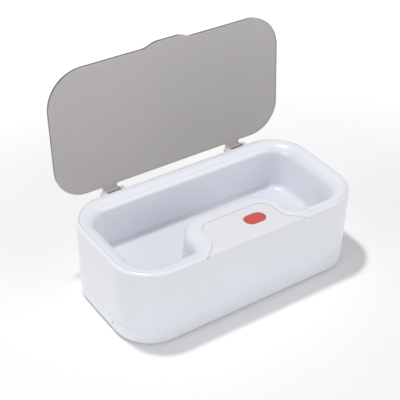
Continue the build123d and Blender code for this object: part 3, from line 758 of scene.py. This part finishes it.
# %% Stem, joined to the flange
stem_radius = 1.6 * mm
stem_foot = button_low[2]
stem_top = flange_top - 0.4 * mm
bpy.ops.object.select_all(action="DESELECT")
bpy.ops.mesh.primitive_cylinder_add(
    vertices=40,
    radius=stem_radius,
    depth=stem_top - stem_foot,
    location=(button_x, button_y, (stem_top + stem_foot) / 2),
)
stem = bpy.context.active_object
stem.name = "stem"
start_editing(stem)
pick(stem, "EDGE", lambda e: max(heights(stem, e)) < 0)
bpy.ops.mesh.bevel(offset=0.2 * mm, segments=3, affect="EDGES")
settle(stem)
union = cap.modifiers.new("stem", "BOOLEAN")
union.operation = "UNION"
union.solver = "EXACT"
union.object = stem
select_only(cap)
bpy.ops.object.modifier_apply(modifier="stem")
bpy.data.objects.remove(stem)
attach(cap, "power_button")
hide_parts("power_button")
print("button cap triangles:", sum(len(f.vertices) - 2 for f in cap.data.polygons))

# %% [markdown]
# The cap's colour goes right through its plastic. Paint would look flat and even; here fine specks vary
# the colour a little, and the gloss drifts over a few millimetres, as it does where fingers press.

# %% Coral finish for the cap
coral = Finish("coral_red")
speck = coral.noise(1.2 * mm, 3.0)
smear = coral.noise(4 * mm, 2.0)
coral.set(
    Base_Color=coral.blend(speck, srgb(209, 84, 75), srgb(199, 75, 68)),
    Roughness=coral.ramp(smear, 0.3, 0.7, 0.38, 0.5),
)
coral.bump(coral.noise(0.3 * mm), 10 * um)
paint(cap, coral)

# %% [markdown]
# ## Solder joints
#
# The parts under the board push their pins up through it, and each pin ends in a little cone of solder.
# Its sides are hollow because melted solder creeps up the pin before it sets. One joint is drawn out of a
# short cylinder, ring by ring, and the rest are copies of it, each with its own mesh.

# %% One joint, drawn up ring by ring
pad_radius = 0.95 * mm
transformer_pins = [(-14.0, -37.5), (-4.0, -37.5), (-14.0, -28.5), (-4.0, -28.5)]
capacitor_pins = [(4.75, -35.0), (7.25, -35.0)]
socket_pins = [(-1.25, -22.5), (1.25, -22.5), (9.75, -22.5), (12.25, -22.5)]
pin_places = [(x * mm, y * mm) for x, y in transformer_pins + capacitor_pins + socket_pins]
rings = ((0.12, 0.78), (0.18, 0.72), (0.25, 0.74), (0.3, 0.85), (0.35, 1.0))  # rise in mm, narrowing
board_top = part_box("control_board")[1][2]
joint_top = board_top + 1.2 * mm
first = Vector((*pin_places[0], board_top))

bpy.ops.object.select_all(action="DESELECT")
bpy.ops.mesh.primitive_cylinder_add(vertices=20, radius=pad_radius, depth=0.1 * mm, location=first)
joint = bpy.context.active_object
joint.name = "solder_joints"
bpy.ops.object.transform_apply(location=True, rotation=True, scale=True)
start_editing(joint)
pick(joint, "FACE", lambda f: f.normal.z > 0.99)
for rise, narrower in rings:
    bpy.ops.mesh.extrude_region_move(TRANSFORM_OT_translate={"value": (0, 0, rise * mm)})
    bpy.ops.transform.resize(value=(narrower, narrower, 1), center_override=first)
pick(joint, "EDGE", lambda e: min(heights(joint, e)) > joint_top)
bpy.ops.mesh.bevel(offset=0.1 * mm, segments=3, affect="EDGES")
settle(joint)

# %% Copies on the other pins, joined into one piece
copies = []
for x, y in pin_places[1:]:
    another = bpy.data.objects.new("solder_copy", joint.data.copy())
    another.data.transform(Matrix.Translation((x - first.x, y - first.y, 0)))
    bpy.context.collection.objects.link(another)
    copies.append(another)
select_only(joint)
for another in copies:
    another.select_set(True)
bpy.ops.object.join()
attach(joint, "housing")
print("solder joints:", len(pin_places), "faces:", len(joint.data.polygons))

# %% [markdown]
# Fresh solder is a bright tin alloy that frosts as it cools. The frost is greyer and duller than the bright
# metal between it, so one fine noise can drive colour, gloss and bump together.

# %% Solder finish
solder = Finish("solder")
frost = solder.noise(0.3 * mm, 2.0)
solder.set(
    Base_Color=solder.blend(frost, srgb(206, 206, 204), srgb(176, 176, 175)),
    Metallic=1.0,
    Roughness=frost * 0.2 + 0.22,
)
solder.bump(frost, 4 * um)
paint(joint, solder)

# %% [markdown]
# ## Finishes on every node
#
# Every CAD node must have a finish by now; the cell below prints any that have none.

# %% List the nodes without a finish
replaced_nodes = {"power_button"}
print("nodes without a finish:", sorted(set(parts) - dressed_nodes - replaced_nodes))
